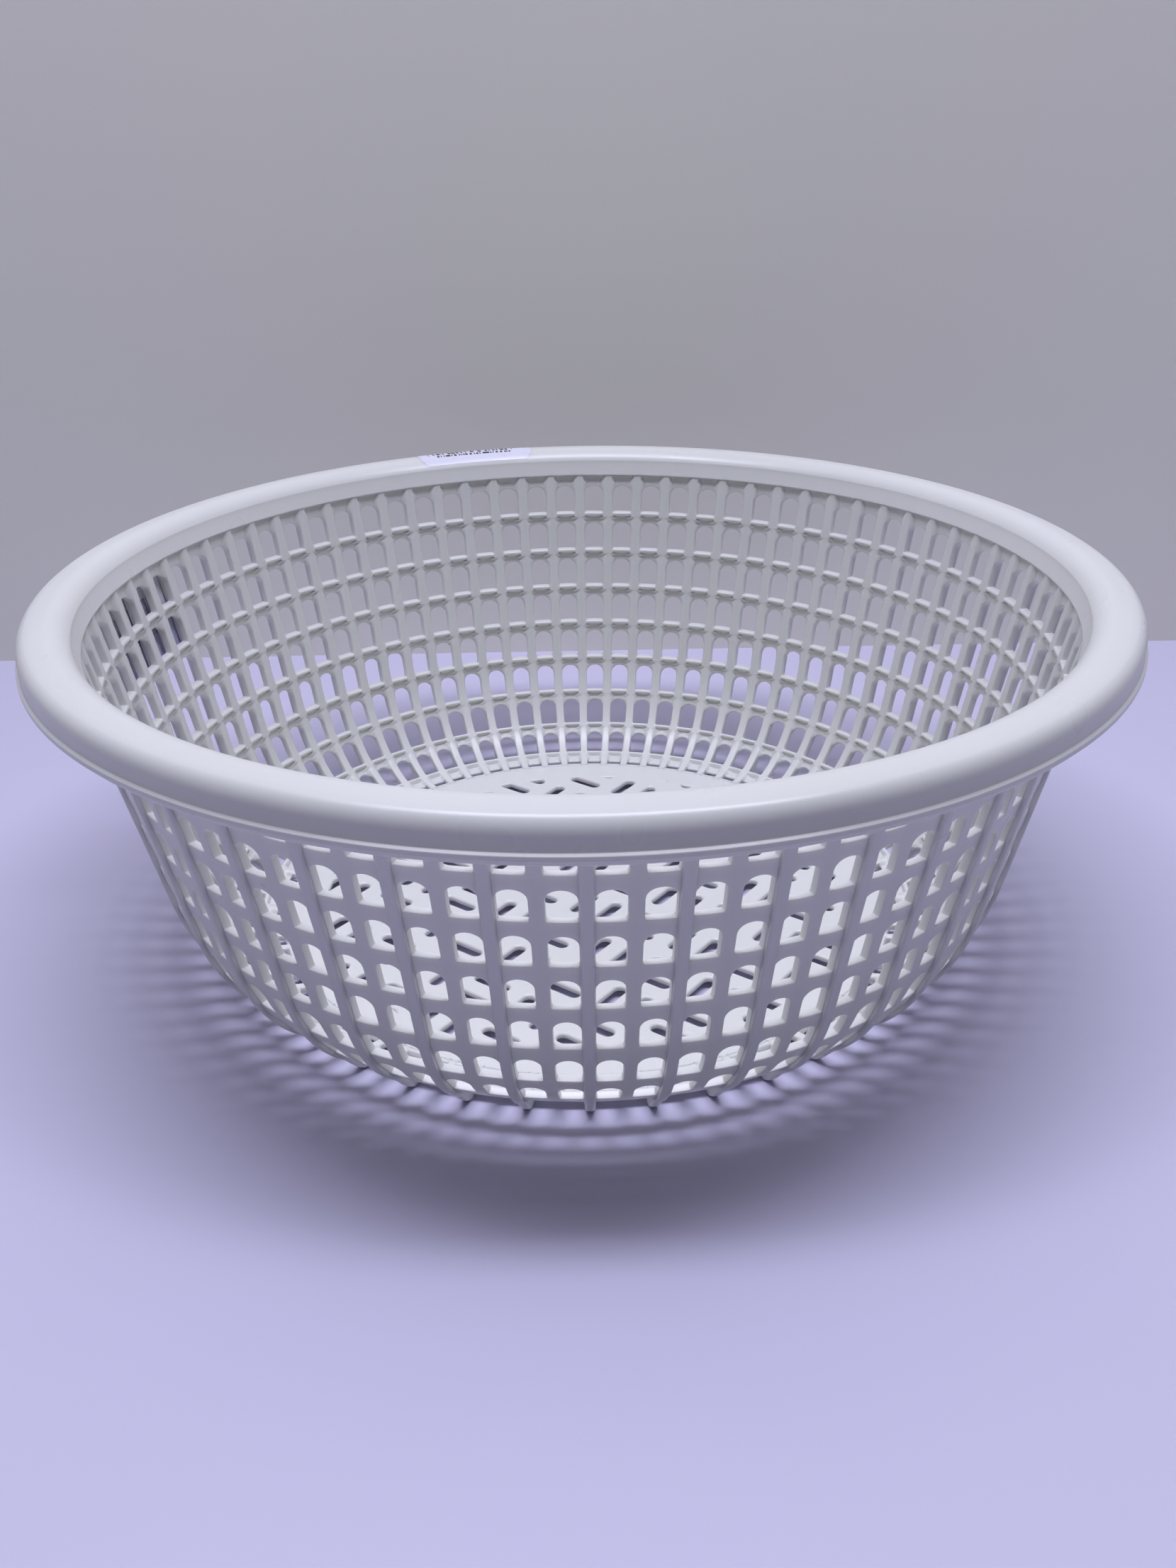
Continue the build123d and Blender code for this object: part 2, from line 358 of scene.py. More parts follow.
class EffectLibrary:
    """Builds each shared effect's node group the first time it is asked for."""

    def __init__(self) -> None:
        """Starts with no groups."""
        self.groups: dict[Effect, bpy.types.NodeTree] = {}

    def get(self, effect: Effect) -> bpy.types.NodeTree:
        """Node group of an effect.

        Args:
            effect: which effect.

        Returns:
            The group, built on first use.
        """
        if effect not in self.groups:
            build = {
                Effect.MOTTLE: self._mottle,
                Effect.GRAIN: self._grain,
                Effect.SMUDGE: self._smudge,
            }[effect]
            self.groups[effect] = build()
            LOG.info("built effect %s", effect.value)
        return self.groups[effect]

    @staticmethod
    def _start(name: str, inputs: dict[str, float], output: str, kind: str) -> tuple:
        """Starts a group with float inputs and one output.

        Args:
            name: group name.
            inputs: default value of each float input.
            output: name of the output.
            kind: socket type of the output.

        Returns:
            The tree, its input node and its output node.
        """
        tree = bpy.data.node_groups.new(name, "ShaderNodeTree")
        for key, value in inputs.items():
            socket = tree.interface.new_socket(key, in_out="INPUT", socket_type="NodeSocketFloat")
            socket.default_value = value
        tree.interface.new_socket(output, in_out="OUTPUT", socket_type=kind)
        return tree, tree.nodes.new("NodeGroupInput"), tree.nodes.new("NodeGroupOutput")

    def _mottle(self) -> bpy.types.NodeTree:
        """Slow cloudy change over the moulding, from 0 to 1.

        Returns:
            The group.
        """
        tree, ins, outs = self._start("Mottle", {"Scale": 9.0, "Detail": 3.0}, "Mask", "NodeSocketFloat")
        coord = tree.nodes.new("ShaderNodeTexCoord")
        noise = tree.nodes.new("ShaderNodeTexNoise")
        ramp = tree.nodes.new("ShaderNodeMapRange")
        ramp.inputs["From Min"].default_value = 0.32
        ramp.inputs["From Max"].default_value = 0.68
        tree.links.new(coord.outputs["Object"], noise.inputs["Vector"])
        tree.links.new(ins.outputs["Scale"], noise.inputs["Scale"])
        tree.links.new(ins.outputs["Detail"], noise.inputs["Detail"])
        tree.links.new(noise.outputs["Fac"], ramp.inputs["Value"])
        tree.links.new(ramp.outputs["Result"], outs.inputs["Mask"])
        return tree

    def _grain(self) -> bpy.types.NodeTree:
        """Faint orange-peel relief of a moulded face.

        Returns:
            The group.
        """
        tree, ins, outs = self._start("Grain", {"Scale": 700.0, "Strength": 0.06}, "Normal", "NodeSocketVector")
        coord = tree.nodes.new("ShaderNodeTexCoord")
        fine = tree.nodes.new("ShaderNodeTexNoise")
        fine.inputs["Detail"].default_value = 3.0
        bump = tree.nodes.new("ShaderNodeBump")
        bump.inputs["Distance"].default_value = 0.0004
        tree.links.new(coord.outputs["Object"], fine.inputs["Vector"])
        tree.links.new(ins.outputs["Scale"], fine.inputs["Scale"])
        tree.links.new(ins.outputs["Strength"], bump.inputs["Strength"])
        tree.links.new(fine.outputs["Fac"], bump.inputs["Height"])
        tree.links.new(bump.outputs["Normal"], outs.inputs["Normal"])
        return tree

    def _smudge(self) -> bpy.types.NodeTree:
        """Roughness of a handled, slightly dusty surface.

        Returns:
            The group.
        """
        tree, ins, outs = self._start(
            "Smudge", {"Scale": 38.0, "Low": 0.28, "High": 0.42}, "Roughness", "NodeSocketFloat"
        )
        coord = tree.nodes.new("ShaderNodeTexCoord")
        noise = tree.nodes.new("ShaderNodeTexNoise")
        noise.inputs["Detail"].default_value = 2.0
        ramp = tree.nodes.new("ShaderNodeMapRange")
        ramp.inputs["From Min"].default_value = 0.3
        ramp.inputs["From Max"].default_value = 0.7
        tree.links.new(coord.outputs["Object"], noise.inputs["Vector"])
        tree.links.new(ins.outputs["Scale"], noise.inputs["Scale"])
        tree.links.new(noise.outputs["Fac"], ramp.inputs["Value"])
        tree.links.new(ins.outputs["Low"], ramp.inputs["To Min"])
        tree.links.new(ins.outputs["High"], ramp.inputs["To Max"])
        tree.links.new(ramp.outputs["Result"], outs.inputs["Roughness"])
        return tree


EFFECTS = EffectLibrary()


def add_effect(tree: bpy.types.NodeTree, effect: Effect, **values: float) -> bpy.types.Node:
    """Adds a shared effect to a material.

    Args:
        tree: the material's node tree.
        effect: which effect.
        **values: values for the group's inputs.

    Returns:
        The group node.
    """
    node = tree.nodes.new("ShaderNodeGroup")
    node.node_tree = EFFECTS.get(effect)
    for key, value in values.items():
        node.inputs[key].default_value = value
    return node


@dataclass(frozen=True)
class PlasticFinish:
    """White moulded polypropylene, slightly translucent.

    Attributes:
        name: material name.
        light: colour of the clearer areas.
        shade: colour of the duller areas.
        rough: lowest and highest roughness.
        grain: strength of the surface relief.
    """

    name: str = "basket plastic"
    light: tuple[float, float, float] = (0.75, 0.75, 0.72)
    shade: tuple[float, float, float] = (0.715, 0.72, 0.68)
    rough: tuple[float, float] = (0.27, 0.34)
    grain: float = 0.05

    def material(self) -> bpy.types.Material:
        """Builds the material.

        Returns:
            The material.
        """
        mat = bpy.data.materials.new(self.name)
        mat.use_nodes = True
        tree = mat.node_tree
        shader = tree.nodes["Principled BSDF"]
        mottle = add_effect(tree, Effect.MOTTLE, Scale=7.0)
        mix = tree.nodes.new("ShaderNodeMix")
        mix.data_type = "RGBA"
        mix.inputs["A"].default_value = (*self.light, 1)
        mix.inputs["B"].default_value = (*self.shade, 1)
        tree.links.new(mottle.outputs["Mask"], mix.inputs["Factor"])
        tree.links.new(mix.outputs["Result"], shader.inputs["Base Color"])
        smudge = add_effect(tree, Effect.SMUDGE, Low=self.rough[0], High=self.rough[1])
        tree.links.new(smudge.outputs["Roughness"], shader.inputs["Roughness"])
        grain = add_effect(tree, Effect.GRAIN, Strength=self.grain)
        tree.links.new(grain.outputs["Normal"], shader.inputs["Normal"])
        shader.inputs["IOR"].default_value = 1.49
        shader.inputs["Subsurface Weight"].default_value = 0.35
        shader.inputs["Subsurface Radius"].default_value = (1.0, 0.95, 0.8)
        shader.inputs["Subsurface Scale"].default_value = 0.004
        return mat


@dataclass(frozen=True)
class LabelFinish:
    """Printed paper under a clear film: a tinted band and rows of plain bars.

    Attributes:
        name: material name.
        paper: colour of the paper.
        band: colour of the printed band.
        ink: colour of the bars.
        bars: how many bars there are along the label, about.
    """

    name: str
    paper: tuple[float, float, float]
    band: tuple[float, float, float]
    ink: tuple[float, float, float]
    bars: float

    def material(self) -> bpy.types.Material:
        """Builds the material.

        Returns:
            The material.
        """
        mat = bpy.data.materials.new(self.name)
        mat.use_nodes = True
        tree = mat.node_tree
        new, link = tree.nodes.new, tree.links.new
        shader = tree.nodes["Principled BSDF"]
        uv = new("ShaderNodeAttribute")
        uv.attribute_name = "label_place"
        split = new("ShaderNodeSeparateXYZ")
        link(uv.outputs["Vector"], split.inputs["Vector"])

        def math_node(kind: str, a: object, b: object = None) -> bpy.types.NodeSocket:
            """Adds a maths node whose inputs are sockets or numbers."""
            node = new("ShaderNodeMath")
            node.operation = kind
            for i, value in enumerate((a, b)):
                if value is None:
                    continue
                if isinstance(value, (int, float)):
                    node.inputs[i].default_value = value
                else:
                    link(value, node.inputs[i])
            return node.outputs[0]

        def window(value: object, low: float, high: float) -> bpy.types.NodeSocket:
            """Mask that is 1 between two values."""
            return math_node("MULTIPLY", math_node("GREATER_THAN", value, low), math_node("LESS_THAN", value, high))

        u, v = split.outputs["X"], split.outputs["Y"]
        noise = new("ShaderNodeTexNoise")
        noise.noise_dimensions = "1D"
        noise.inputs["Scale"].default_value = self.bars
        noise.inputs["Detail"].default_value = 0.0
        link(u, noise.inputs["W"])
        bars = math_node("GREATER_THAN", noise.outputs["Fac"], 0.5)
        bars = math_node("MULTIPLY", bars, window(v, 0.56, 0.84))
        bars = math_node("MULTIPLY", bars, window(u, 0.16, 0.91))
        line = new("ShaderNodeTexNoise")
        line.noise_dimensions = "1D"
        line.inputs["Scale"].default_value = self.bars * 1.7
        line.inputs["Detail"].default_value = 0.0
        link(u, line.inputs["W"])
        words = math_node("GREATER_THAN", line.outputs["Fac"], 0.47)
        words = math_node("MULTIPLY", words, window(v, 0.34, 0.48))
        words = math_node("MULTIPLY", words, window(u, 0.18, 0.85))
        ink = math_node("MAXIMUM", bars, words)
        tint = new("ShaderNodeMix")
        tint.data_type = "RGBA"
        tint.inputs["A"].default_value = (*self.paper, 1)
        tint.inputs["B"].default_value = (*self.band, 1)
        link(window(v, 0.05, 0.45), tint.inputs["Factor"])
        mix = new("ShaderNodeMix")
        mix.data_type = "RGBA"
        mix.inputs["B"].default_value = (*self.ink, 1)
        link(tint.outputs["Result"], mix.inputs["A"])
        link(ink, mix.inputs["Factor"])
        link(mix.outputs["Result"], shader.inputs["Base Color"])
        smudge = add_effect(tree, Effect.SMUDGE, Scale=90.0, Low=0.22, High=0.4)
        link(smudge.outputs["Roughness"], shader.inputs["Roughness"])
        return mat


@dataclass(frozen=True)
class GroundFinish:
    """Matte paint of the table or the wall behind it, clear when seen from the back.

    Attributes:
        name: material name.
        light: main colour.
        shade: second colour, mixed in slowly.
        rough: lowest and highest roughness.
    """

    name: str
    light: tuple[float, float, float]
    shade: tuple[float, float, float]
    rough: tuple[float, float]

    def material(self) -> bpy.types.Material:
        """Builds the material.

        Returns:
            The material.
        """
        mat = bpy.data.materials.new(self.name)
        mat.use_nodes = True
        tree = mat.node_tree
        shader = tree.nodes["Principled BSDF"]
        mottle = add_effect(tree, Effect.MOTTLE, Scale=2.2, Detail=4.0)
        mix = tree.nodes.new("ShaderNodeMix")
        mix.data_type = "RGBA"
        mix.inputs["A"].default_value = (*self.light, 1)
        mix.inputs["B"].default_value = (*self.shade, 1)
        tree.links.new(mottle.outputs["Mask"], mix.inputs["Factor"])
        tree.links.new(mix.outputs["Result"], shader.inputs["Base Color"])
        smudge = add_effect(tree, Effect.SMUDGE, Scale=6.0, Low=self.rough[0], High=self.rough[1])
        tree.links.new(smudge.outputs["Roughness"], shader.inputs["Roughness"])
        facing = tree.nodes.new("ShaderNodeNewGeometry")
        clear = tree.nodes.new("ShaderNodeBsdfTransparent")
        either = tree.nodes.new("ShaderNodeMixShader")
        tree.links.new(facing.outputs["Backfacing"], either.inputs["Fac"])
        tree.links.new(shader.outputs["BSDF"], either.inputs[1])
        tree.links.new(clear.outputs["BSDF"], either.inputs[2])
        tree.links.new(either.outputs["Shader"], tree.nodes["Material Output"].inputs["Surface"])
        return mat


# --------------------------------------------------------------------------
# Sub-assemblies
# --------------------------------------------------------------------------
@dataclass
class Lattice:
    """The wall: rings of arched windows between upright bars.

    Attributes:
        bars: number of bars round the wall.
        open_deg: angle that one window fills.
        rows: number of full rows.
        first_sill_z: height of the top row's sills.
        pitch: distance between sills, along the wall.
        window: height of a window, along the wall.
        rise: height of the arched head.
        fall: how far a sill falls towards the inside.
        recess: how far the webs lie behind the bars, inside.
        lip: height of the raised lip along the foot of each window, inside.
        soft_out: rounding of the outer edges.
        soft_in: rounding of the inner edges.
        slit_r: radii between which the drain slits are open.
        top_z: height at which the rim takes over.
    """

    bars: int = 80
    open_deg: float = 3.0
    rows: int = 8
    first_sill_z: float = 116.4
    pitch: float = 17.7
    window: float = 11.9
    rise: float = 3.8
    fall: float = 0.9
    recess: float = 1.5
    lip: float = 1.5
    soft_out: float = 0.45
    soft_in: float = 0.55
    slit_r: Point = (123.6, 127.0)
    top_z: float = 134.2
    obj: bpy.types.Object | None = field(default=None, repr=False)

    def _outline(self, sill: float, high: float, arched: bool) -> np.ndarray:
        """Window outline as (angle in degrees, distance along the wall) points.

        Args:
            sill: distance of the sill along the wall.
            high: height of the window.
            arched: whether the head is arched.

        Returns:
            28 points, anticlockwise from the lower left corner.
        """
        h = self.open_deg / 2
        rise = self.rise if arched else min(0.6, high / 3)
        foot = 0.35 if arched else 0.25
        spring = high - rise
        low = [(-h * k, 0.0) for k in (0.90, 0.80, 0.47, 0.0, -0.47, -0.80, -0.90)]
        side = [(h, spring * k) for k in (0.14, 0.40, 0.70, 1.0)]
        power = 1.0 if arched else 0.45

        def head(deg: float) -> Point:
            """Point of the head at an angle."""
            c, s = math.cos(math.radians(deg)), math.sin(math.radians(deg))
            return (h * math.copysign(abs(c) ** power, c), spring + rise * s ** power)

        right = [head(22)]
        top = [head(d) for d in (42, 55, 66, 78, 90, 102, 114, 125, 138)]
        left = [head(158)] + [(-x, v) for x, v in reversed(side)]
        corner_l, corner_r = (-h * 0.97, foot * 0.35), (h * 0.97, foot * 0.35)
        pts = [corner_l, *low, corner_r, *side, *right, *top, *left]
        return np.array([(x, sill + v) for x, v in pts])

    def _border(self, low: float, high: float) -> np.ndarray:
        """Rectangle round a window, matched point for point to its outline.

        Args:
            low: lower edge, along the wall.
            high: upper edge, along the wall.

        Returns:
            28 points of (angle, distance).
        """
        h = 180.0 / self.bars
        inside = [-1.62, -1.42, -0.8, 0.0, 0.8, 1.42, 1.62]
        up = [low + (high - low) * k / 6 for k in range(1, 6)]
        pts = [(-h, low), *[(x, low) for x in inside], (h, low)]
        pts += [(h, v) for v in up]
        pts += [(h, high), *[(x, high) for x in reversed(inside)], (-h, high)]
        pts += [(-h, v) for v in reversed(up)]
        return np.array(pts)

    def _inner_depth(self, theta: np.ndarray, s: np.ndarray, sill: float) -> np.ndarray:
        """Depth of the inner face, which steps back at the webs but not at a lip.

        Args:
            theta: angles from the window's middle.
            s: distances along the wall.
            sill: distance of the window's sill along the wall.

        Returns:
            Depths in millimetres.
        """
        edge = self.open_deg / 2 - 0.12
        bar = np.clip((np.abs(theta) - edge + 0.05) / 0.10, 0.0, 1.0)
        below = sill - s
        lip = np.clip((self.lip + 0.45 - below) / 0.4, 0.0, 1.0) * (below > -0.9)
        return WALL.thickness(s) - self.recess * (1 - np.maximum(bar, lip))

    def _bay(self, sill: float, high: float, low_edge: float, high_edge: float, arched: bool) -> tuple:
        """Vertices and faces of one window with the wall round it.

        Args:
            sill: distance of the sill along the wall.
            high: height of the window.
            low_edge: lower edge of the piece.
            high_edge: upper edge of the piece.
            arched: whether the head is arched.

        Returns:
            Points and quads, the window being centred on angle 0.
        """
        outline = self._outline(sill, high, arched)
        border = self._border(low_edge, high_edge)
        radius = float(WALL.at(np.array([sill + high / 2]))[0][0])
        mm = outline * np.array([math.radians(1) * radius, 1.0])
        ahead, behind = np.roll(mm, -1, 0), np.roll(mm, 1, 0)
        t = ahead - behind
        t /= np.linalg.norm(t, axis=1)[:, None]
        normal = np.stack([t[:, 1], -t[:, 0]], 1)
        n = len(mm)

        def loop(grow: float, depth: float, from_inside: bool) -> np.ndarray:
            """One loop round the window."""
            p = mm + normal * grow
            theta, s = np.degrees(p[:, 0] / radius), p[:, 1]
            near_sill = np.clip(1 - (outline[:, 1] - sill) / (high * 0.5), 0, 1)
            full = self._inner_depth(theta, s, sill)
            d = full - depth if from_inside else np.full(n, depth)
            s = s - self.fall * near_sill * np.clip(d / WALL.thick, 0, 1)
            return WALL.place(theta, s, d)

        o, i = self.soft_out, self.soft_in
        zero = np.zeros(n)
        foot = outline[:, 1] <= sill + 0.3

        def inner_ring(share: float, drop: float) -> np.ndarray:
            """Ring on the inner face, part of the way out to the border."""
            way = outline + (border - outline) * share
            theta, s = way[:, 0], np.where(foot, sill - drop, way[:, 1])
            theta = np.where(foot, outline[:, 0] * (1 + 0.12 * share), theta)
            full = self._inner_depth(theta, s, sill)
            return WALL.place(theta, s - self.fall * foot * 0.8, full)

        rings = [
            WALL.place(border[:, 0], border[:, 1], zero),
            loop(o, 0.0, False),
            loop(o * 0.3, o * 0.3, False),
            loop(0.0, o, False),
            loop(0.0, i, True),
            loop(i * 0.3, i * 0.3, True),
            loop(i, 0.0, True),
            inner_ring(0.35, self.lip),
            inner_ring(0.60, self.lip + 0.5),
            WALL.place(border[:, 0], border[:, 1], self._inner_depth(border[:, 0], border[:, 1], sill)),
        ]
        faces = [
            (a * n + j, a * n + (j + 1) % n, (a + 1) * n + (j + 1) % n, (a + 1) * n + j)
            for a in range(len(rings) - 1)
            for j in range(n)
        ]
        return np.concatenate(rings), np.array(faces)

    def build(self) -> None:
        """Builds the whole wall as one mesh."""
        top = WALL.s_at_height(self.first_sill_z)
        sills = [top - self.pitch * k for k in range(self.rows)]
        web = self.pitch - self.window
        slit_low, slit_high = (WALL.s_at_radius(r) for r in self.slit_r)
        cells = []
        high_edge = WALL.s_at_height(self.top_z)
        for k, sill in enumerate(sills):
            low_edge = sill - web / 2 if k < self.rows - 1 else (sill + slit_high) / 2
            cells.append((sill, self.window, low_edge, high_edge, True))
            high_edge = low_edge
        cells.append((slit_low, slit_high - slit_low, WALL.s_at_radius(121.8), high_edge, False))
        points, faces, count = [], [], 0
        for cell in cells:
            p, f = self._bay(*cell)
            for b in range(self.bars):
                turn = -90.0 + (b + 0.5) * 360.0 / self.bars
                points.append(spin(p, turn))
                faces.append(f + count)
                count += len(p)
        self.obj = make_mesh("basket_wall", np.concatenate(points), np.concatenate(faces), weld=2e-6)
        weigh_normals(self.obj)

    def dress(self, plastic: bpy.types.Material) -> None:
        """Gives the wall its material and its place in the frame.

        Args:
            plastic: the moulding's material.
        """
        self.obj.data.materials.append(plastic)
        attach(self.obj, "root")
        rows = [f"wall_course_{k + 1}" for k in range(self.rows)]
        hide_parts(*rows, "drain_course", "wall_band")


@dataclass
class Ribs:
    """Proud rounded ribs on every second bar, each ending in a small foot.

    Attributes:
        count: number of ribs.
        width_deg: angle that a rib fills.
        proud: how far it stands out of the wall.
        foot_r: radius of the circle that the feet stand on.
        top_z: height at which a rib goes up into the rim.
    """

    count: int = 40
    width_deg: float = 1.36
    proud: float = 1.6
    foot_r: float = 131.5
    top_z: float = 137.0
    obj: bpy.types.Object | None = field(default=None, repr=False)

    def build(self) -> None:
        """Builds all the ribs as one mesh."""
        low = WALL.s_at_radius(self.foot_r - 3.4)
        foot = WALL.s_at_radius(self.foot_r)
        high = WALL.s_at_height(self.top_z)
        s = np.concatenate([
            low + (foot + 14 - low) * (1 - np.cos(np.linspace(0, math.pi / 2, 22))),
            np.linspace(foot + 14, 4, 30)[1:],
            np.linspace(4, high, 8)[1:],
        ])
        r, z, nr, nz = WALL.at(s)
        reach = np.clip((s - low) / 3.6, 0, 1)
        end = np.sqrt(np.clip(1 - (1 - reach) ** 2, 0, 1))
        swell = np.clip(1 - (s - foot) / 13.0, 0, 1)
        swell = swell * swell * (3 - 2 * swell)
        to_floor = np.where(nz < -0.2, z / np.maximum(-nz, 0.2), 9.0)
        proud = self.proud + swell * np.clip(to_floor - self.proud, 0, 3.2)
        proud = np.minimum(proud, to_floor) * end
        across = np.array([-1.0, -0.98, -0.90, -0.72, -0.4, 0.0, 0.4, 0.72, 0.90, 0.98, 1.0])
        lift = np.array([-0.3, 0.45, 0.78, 0.94, 1.0, 1.0, 1.0, 0.94, 0.78, 0.45, -0.3])
        width = self.width_deg / 2 * (1 + 0.28 * swell) * (0.25 + 0.75 * end)
        theta = width[:, None] * across[None, :]
        depth = -proud[:, None] * lift[None, :]
        grid = WALL.place(theta.ravel(), np.repeat(s, len(across)), depth.ravel())
        n, m = len(s), len(across)
        quads = np.array([
            (i * m + j, i * m + j + 1, (i + 1) * m + j + 1, (i + 1) * m + j)
            for i in range(n - 1)
            for j in range(m - 1)
        ])
        points, faces = [], []
        for k in range(self.count):
            points.append(spin(grid, -90.0 + 360.0 * k / self.count))
            faces.append(quads + k * len(grid))
        self.obj = make_mesh("basket_ribs", np.concatenate(points), np.concatenate(faces))

    def dress(self, plastic: bpy.types.Material) -> None:
        """Gives the ribs their material and their place in the frame.

        Args:
            plastic: the moulding's material.
        """
        self.obj.data.materials.append(plastic)
        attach(self.obj, "root")
        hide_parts("wall_ribs")


@dataclass
class Rim:
    """The rolled rim: a domed top, a skirt with a bead, and an inner leg.

    Attributes:
        height: height of the crest.
        bead_r: radius over the bead.
        inner_r: radius of the top's inner edge.
        leg_z: height of the inner leg's lower edge.
    """

    height: float = 145.0
    bead_r: float = 200.0
    inner_r: float = 181.4
    leg_z: float = 133.7
    obj: bpy.types.Object | None = field(default=None, repr=False)

    def top(self) -> list[Point]:
        """Section of the rim's upper face, from its inner edge out to the skirt.

        Returns:
            Points of radius and height.
        """
        h, crest = self.height, (190.0, self.height)
        inner = arc_through((self.inner_r, h - 4.6), (184.6, h - 1.3), crest, 12)
        outer = arc_through((195.6, h - 0.9), (198.1, h - 3.0), (self.bead_r - 1.0, h - 6.2), 12)
        return [*inner, (193.5, h - 0.25), *outer]

    def profile(self) -> list[Point]:
        """Closed outline of the rim's section.

        Returns:
            Points of radius and height.
        """
        h, skirt = self.height, self.bead_r - 1.0
        leg_in, leg_out = 178.75, 182.75
        top = self.top()
        head = [(leg_in, self.leg_z), (self.inner_r - 0.45, h - 6.4)]
        low = [
            (skirt, 134.6), (self.bead_r, 133.9), (self.bead_r, 132.3), (skirt - 0.6, 131.7),
            (skirt - 0.8, 130.2), (skirt - 3.2, 130.2), (skirt - 3.2, h - 7.2), (194.4, h - 4.4),
            (190.4, h - 3.2), (leg_out + 1.4, h - 4.4), (leg_out + 0.4, self.leg_z),
        ]
        pts = [*head, *top, *low]
        first = len(head) + len(top)
        rounds = {0: 0.5, 2: 0.8, first: 0.4, first + 1: 0.4, first + 2: 0.4, first + 3: 0.4,
                  first + 4: 0.6, first + 5: 0.6, first + 6: 1.5}
        return round_corners(pts, rounds)

    def build(self) -> None:
        """Builds the rim as one mesh."""
        self.obj = lathe("basket_rim", self.profile(), 360)
        weigh_normals(self.obj)

    def dress(self, plastic: bpy.types.Material) -> None:
        """Gives the rim its material and its place in the frame.

        Args:
            plastic: the moulding's material.
        """
        self.obj.data.materials.append(plastic)
        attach(self.obj, "root")
        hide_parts("rim_flange")


@dataclass
class Base:
    """Flat base with a basket weave of bevelled slots inside a plain ring.

    Attributes:
        gap: air under the base.
        thick: thickness of the base.
        edge_r: outer radius of the plate.
        grille_r: the slots lie inside this circle.
        slot: length and width of a slot over its bevels.
        bevel: width of the bevel.
        cell: side of one square cell of the weave.
        turn_deg: how the weave is turned.
        shift: centre of one cell.
    """

    gap: float = 2.4
    thick: float = 2.6
    edge_r: float = 123.0
    grille_r: float = 109.0
    slot: Point = (17.8, 6.8)
    bevel: float = 1.1
    cell: float = 23.9
    turn_deg: float = 53.0
    shift: Point = (4.0, 107.0)
    obj: bpy.types.Object | None = field(default=None, repr=False)

    def _slots(self) -> list[list[Point]]:
        """Outlines of the slots' through openings, cut off at the grille's circle.

        Returns:
            One list of points for each slot.
        """
        half_l, half_w = self.slot[0] / 2, self.slot[1] / 2
        turn = math.radians(self.turn_deg)
        reach = int(2 * self.grille_r / self.cell) + 2
        found = []
        for i in range(-reach, reach + 1):
            for j in range(-reach, reach + 1):
                crossed = (i + j) % 2
                for off in (-self.cell / 4, self.cell / 4):
                    x, y = i * self.cell, j * self.cell
                    x, y = (x, y + off) if crossed else (x + off, y)
                    gx = self.shift[0] + x * math.cos(turn) - y * math.sin(turn)
                    gy = self.shift[1] + x * math.sin(turn) + y * math.cos(turn)
                    lean = turn + (0 if crossed else math.pi / 2)
                    ring = []
                    for k in range(20):
                        side = 1 if k < 10 else -1
                        a = -math.pi / 2 + math.pi * (k % 10) / 9 + (0 if k < 10 else math.pi)
                        px = side * (half_l - half_w) + half_w * math.cos(a)
                        py = half_w * math.sin(a)
                        ring.append((gx + px * math.cos(lean) - py * math.sin(lean),
                                     gy + px * math.sin(lean) + py * math.cos(lean)))
                    ring = self._clip(ring)
                    if len(ring) > 3 and self._area(ring) > 8.0:
                        found.append(ring)
        return found

    @staticmethod
    def _area(ring: list[Point]) -> float:
        """Area inside an outline.

        Args:
            ring: the outline's points.

        Returns:
            Area in square millimetres.
        """
        return 0.5 * abs(sum(a[0] * b[1] - b[0] * a[1] for a, b in zip(ring, ring[1:] + ring[:1])))

    def _clip(self, ring: list[Point]) -> list[Point]:
        """Cuts an outline off at the grille's circle.

        Args:
            ring: the outline's points.

        Returns:
            The part inside the circle.
        """
        limit = self.grille_r
        out: list[Point] = []
        for a, b in zip(ring, ring[1:] + ring[:1]):
            ina, inb = math.hypot(*a) <= limit, math.hypot(*b) <= limit
            if ina:
                out.append(a)
            if ina != inb:
                lo, hi = 0.0, 1.0
                for _ in range(24):
                    mid = (lo + hi) / 2
                    p = (a[0] + (b[0] - a[0]) * mid, a[1] + (b[1] - a[1]) * mid)
                    if (math.hypot(*p) <= limit) == ina:
                        lo = mid
                    else:
                        hi = mid
                out.append((a[0] + (b[0] - a[0]) * lo, a[1] + (b[1] - a[1]) * lo))
        return out

    def build(self) -> None:
        """Builds the plate by filling its outlines and softening every edge."""
        curve = bpy.data.curves.new("basket_base", "CURVE")
        curve.dimensions = "2D"
        curve.fill_mode = "BOTH"
        curve.bevel_depth = self.bevel * MM
        curve.bevel_resolution = 3
        curve.extrude = (self.thick / 2 - self.bevel) * MM
        edge = self.edge_r - self.bevel
        circle = [(edge * math.cos(2 * math.pi * k / 240), edge * math.sin(2 * math.pi * k / 240))
                  for k in range(240)]
        for ring in [circle, *self._slots()]:
            spline = curve.splines.new("POLY")
            spline.points.add(len(ring) - 1)
            for point, (x, y) in zip(spline.points, ring):
                point.co = (x * MM, y * MM, 0, 1)
            spline.use_cyclic_u = True
        raw = bpy.data.objects.new("basket_base_curve", curve)
        bpy.context.scene.collection.objects.link(raw)
        raw.location = (0, 0, (self.gap + self.thick / 2) * MM)
        bpy.context.view_layer.update()
        mesh = bpy.data.meshes.new_from_object(raw.evaluated_get(bpy.context.evaluated_depsgraph_get()))
        mesh.transform(raw.matrix_world)
        bpy.data.objects.remove(raw)
        self.obj = bpy.data.objects.new("basket_base", mesh)
        bpy.context.scene.collection.objects.link(self.obj)
        mesh.polygons.foreach_set("use_smooth", np.zeros(len(mesh.polygons), bool))
        mesh.update()

